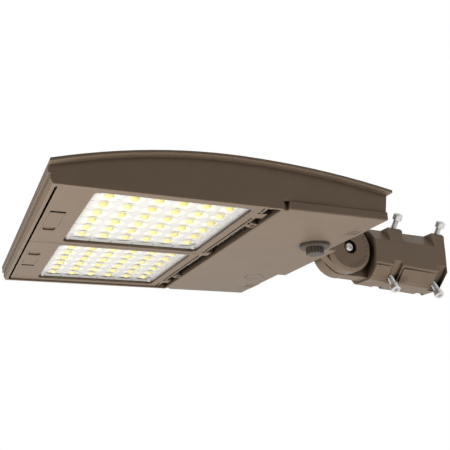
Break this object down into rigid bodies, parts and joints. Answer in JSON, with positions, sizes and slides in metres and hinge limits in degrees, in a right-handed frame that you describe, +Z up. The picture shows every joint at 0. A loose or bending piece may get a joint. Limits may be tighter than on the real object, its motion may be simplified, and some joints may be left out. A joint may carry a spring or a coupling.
{
  "type": "flood light",
  "caption": "Outdoor LED flood light: shallow arched cast head with a hinged twin window LED door, a hinged driver door, and a tilting knuckle on an octagonal slipfitter.",
  "frame": {"origin": "centre of the tenon socket's mouth", "axes": "+X from the head towards the pole, level with the head; +Z up, away from the lit face; +Y to the right, seen from the head towards the pole"},
  "size_m": [0.5679, 0.388, 0.1119],
  "materials": {
    "bronze_coat": "dark bronze powder coat, fine texture",
    "bare_aluminium": "mill finish sheet",
    "board_white": "white solder mask",
    "led_yellow": "phosphor coated package",
    "lens_clear": "clear moulded optic",
    "stainless": "bright stainless steel",
    "zinc_steel": "zinc plated steel",
    "silicone": "grey silicone",
    "black_plastic": "moulded plastic",
    "driver_white": "potted plastic case"
  },
  "bodies": {
    "slipfitter": {"slipfitter": "bronze_coat", "wire_grommet": "silicone"},
    "head": {"housing": "bronze_coat", "heat_plate": "bare_aluminium", "heat_plate_screws": "zinc_steel", "led_board_left": "board_white", "led_chips_left": "led_yellow", "lens_plate_left": "lens_clear", "lens_screws_left": "stainless", "led_board_right": "board_white", "led_chips_right": "led_yellow", "lens_plate_right": "lens_clear", "lens_screws_right": "stainless", "led_door_pins": "stainless", "driver_door_pins": "stainless", "driver_plate": "zinc_steel", "driver_plate_screws": "zinc_steel", "led_driver": "driver_white", "driver_screws": "zinc_steel", "surge_protector": "black_plastic", "terminal_block": "driver_white", "knuckle_arm": "bronze_coat", "arm_gasket": "silicone", "arm_bolts": "stainless", "knuckle_bolt": "stainless", "knuckle_washer": "stainless", "knuckle_nut": "stainless"},
    "led_door": {"led_door": "bronze_coat", "led_door_gasket_left": "silicone", "latch_keeper_left": "zinc_steel", "led_door_gasket_right": "silicone", "latch_keeper_right": "zinc_steel"},
    "driver_door": {"driver_door": "bronze_coat", "catch_keepers": "zinc_steel", "sensor_socket": "black_plastic", "sensor_seal": "silicone", "sensor_ring_nut": "black_plastic"},
    "latch_left": {"latch_left": "bronze_coat"},
    "door_catch_left": {"door_catch_left": "bronze_coat"},
    "latch_right": {"latch_right": "bronze_coat"},
    "door_catch_right": {"door_catch_right": "bronze_coat"},
    "sensor_cap": {"sensor_cap": "black_plastic"},
    "set_screw_1": {"set_screw_1": "stainless"},
    "set_screw_2": {"set_screw_2": "stainless"},
    "set_screw_3": {"set_screw_3": "stainless"},
    "set_screw_4": {"set_screw_4": "stainless"},
    "set_screw_5": {"set_screw_5": "stainless"},
    "set_screw_6": {"set_screw_6": "stainless"}
  },
  "joints": [
    {"name": "head_tilt", "type": "hinge", "parent": "slipfitter", "child": "head", "pos_m": [-0.15423, 0, 0.00916], "axis": [0, 1, 0], "range_deg": [-90, 90]},
    {"name": "led_door_swing", "type": "hinge", "parent": "head", "child": "led_door", "pos_m": [-0.34843, 0, -0.00334], "axis": [0, -1, 0], "range_deg": [0, 70]},
    {"name": "driver_door_swing", "type": "hinge", "parent": "head", "child": "driver_door", "pos_m": [-0.34173, 0, -0.00334], "axis": [0, 1, 0], "range_deg": [0, 70]},
    {"name": "latch_left_slide", "type": "slide", "parent": "led_door", "child": "latch_left", "axis": [0, -1, 0], "range_m": [0, 0.005]},
    {"name": "latch_right_slide", "type": "slide", "parent": "led_door", "child": "latch_right", "axis": [0, 1, 0], "range_m": [0, 0.005]},
    {"name": "door_catch_left_slide", "type": "slide", "parent": "driver_door", "child": "door_catch_left", "axis": [1, 0, 0], "range_m": [0, 0.004], "stiffness_N_per_m": 600},
    {"name": "door_catch_right_slide", "type": "slide", "parent": "driver_door", "child": "door_catch_right", "axis": [1, 0, 0], "range_m": [0, 0.004], "stiffness_N_per_m": 600},
    {"name": "sensor_cap_twist", "type": "hinge", "parent": "driver_door", "child": "sensor_cap", "pos_m": [-0.23973, -0.082, -0.00934], "axis": [0, 0, 1], "range_deg": [0, 90]},
    {"name": "set_screw_1_drive", "type": "slide", "parent": "slipfitter", "child": "set_screw_1", "axis": [-0.0454, 0.6428, -0.7647], "range_m": [0, 0.007]},
    {"name": "set_screw_2_drive", "type": "slide", "parent": "slipfitter", "child": "set_screw_2", "axis": [-0.0454, 0.6428, -0.7647], "range_m": [0, 0.007]},
    {"name": "set_screw_3_drive", "type": "slide", "parent": "slipfitter", "child": "set_screw_3", "axis": [0.0514, 0.5, 0.8645], "range_m": [0, 0.004]},
    {"name": "set_screw_4_drive", "type": "slide", "parent": "slipfitter", "child": "set_screw_4", "axis": [0.0514, 0.5, 0.8645], "range_m": [0, 0.004]},
    {"name": "set_screw_5_drive", "type": "slide", "parent": "slipfitter", "child": "set_screw_5", "axis": [-0.0052, -0.9962, -0.087], "range_m": [0, 0.004]},
    {"name": "set_screw_6_drive", "type": "slide", "parent": "slipfitter", "child": "set_screw_6", "axis": [-0.0052, -0.9962, -0.087], "range_m": [0, 0.004]}
  ]
}
